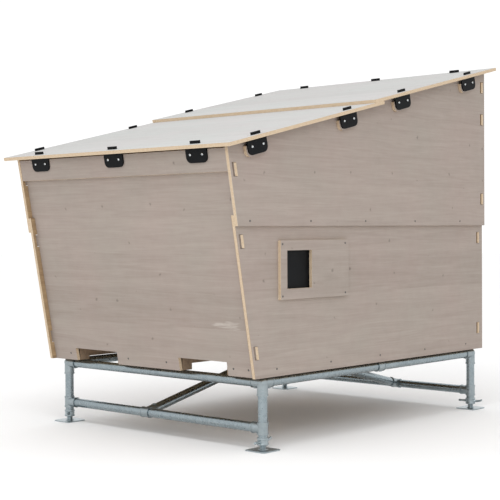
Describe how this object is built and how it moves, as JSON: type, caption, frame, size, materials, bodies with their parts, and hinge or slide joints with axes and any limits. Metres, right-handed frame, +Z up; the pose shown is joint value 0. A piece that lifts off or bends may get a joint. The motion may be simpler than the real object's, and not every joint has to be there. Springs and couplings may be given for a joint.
{
  "type": "plywood animal house on a tube stand",
  "caption": "Small plywood animal house with a single-pitch hooked-on roof and a sliding pop-hole hatch, on a galvanised tube stand with screw feet.",
  "frame": {"origin": "on the floor, under the middle of the whole object", "axes": "+X to the side with the pop hole, +Y from the low leaning front to the high rear, +Z up"},
  "size_m": [1.732, 2.3602, 2.0686],
  "materials": {
    "front_ply": "grey stain, dull",
    "rear_ply": "grey stain, dull",
    "side_ply": "grey stain, dull",
    "roof_ply": "grey stain, dull",
    "floor_ply": "bare plywood",
    "spacer_ply": "bare cut edges",
    "softwood": "planed timber",
    "slide_plastic": "matt black",
    "hook_plastic": "matt black",
    "galvanised_tube": "galvanised",
    "cast_fitting": "galvanised casting",
    "foot_steel": "zinc plated",
    "nut_iron": "zinc plated casting"
  },
  "bodies": {
    "house": {"front_wall": "front_ply", "front_fascia": "front_ply", "rear_wall_lower": "rear_ply", "rear_wall_upper": "rear_ply", "left_wall_lower": "side_ply", "left_wall_upper": "side_ply", "right_wall_lower": "side_ply", "right_wall_upper": "side_ply", "floor_panel": "floor_ply", "base_blocks": "softwood", "base_runners": "softwood", "floor_battens": "softwood", "roof_front_sheet": "roof_ply", "roof_rear_sheet": "roof_ply", "hatch_cover": "side_ply", "hatch_inner_cover": "side_ply", "front_hooks": "hook_plastic", "rear_hooks": "hook_plastic", "left_hooks": "hook_plastic", "right_hooks": "hook_plastic", "hook_spacers": "spacer_ply", "top_rail_front": "galvanised_tube", "top_rail_rear": "galvanised_tube", "top_rail_left": "galvanised_tube", "top_rail_right": "galvanised_tube", "cross_tube": "galvanised_tube", "low_rail_front": "galvanised_tube", "low_rail_rear": "galvanised_tube", "brace_front": "galvanised_tube", "brace_rear": "galvanised_tube", "leg_front_left": "galvanised_tube", "leg_front_right": "galvanised_tube", "leg_rear_left": "galvanised_tube", "leg_rear_right": "galvanised_tube", "corner_fittings": "cast_fitting", "leg_tees": "cast_fitting", "side_rail_tees": "cast_fitting", "low_rail_tees": "cast_fitting", "cross_tube_tees": "cast_fitting", "wing_nuts": "nut_iron"},
    "slide": {"hatch_slide": "slide_plastic"},
    "screw_foot_front_left": {"foot_front_left": "foot_steel"},
    "screw_foot_front_right": {"foot_front_right": "foot_steel"},
    "screw_foot_rear_left": {"foot_rear_left": "foot_steel"},
    "screw_foot_rear_right": {"foot_rear_right": "foot_steel"}
  },
  "joints": [
    {"name": "hatch_slide_travel", "type": "slide", "parent": "house", "child": "slide", "axis": [0, 1, 0], "range_m": [0, 0.213]},
    {"name": "foot_screw_front_left", "type": "slide", "parent": "house", "child": "screw_foot_front_left", "axis": [0, 0, -1], "range_m": [-0.015, 0.1]},
    {"name": "foot_screw_front_right", "type": "slide", "parent": "house", "child": "screw_foot_front_right", "axis": [0, 0, -1], "range_m": [-0.015, 0.1]},
    {"name": "foot_screw_rear_left", "type": "slide", "parent": "house", "child": "screw_foot_rear_left", "axis": [0, 0, -1], "range_m": [-0.015, 0.1]},
    {"name": "foot_screw_rear_right", "type": "slide", "parent": "house", "child": "screw_foot_rear_right", "axis": [0, 0, -1], "range_m": [-0.015, 0.1]}
  ]
}
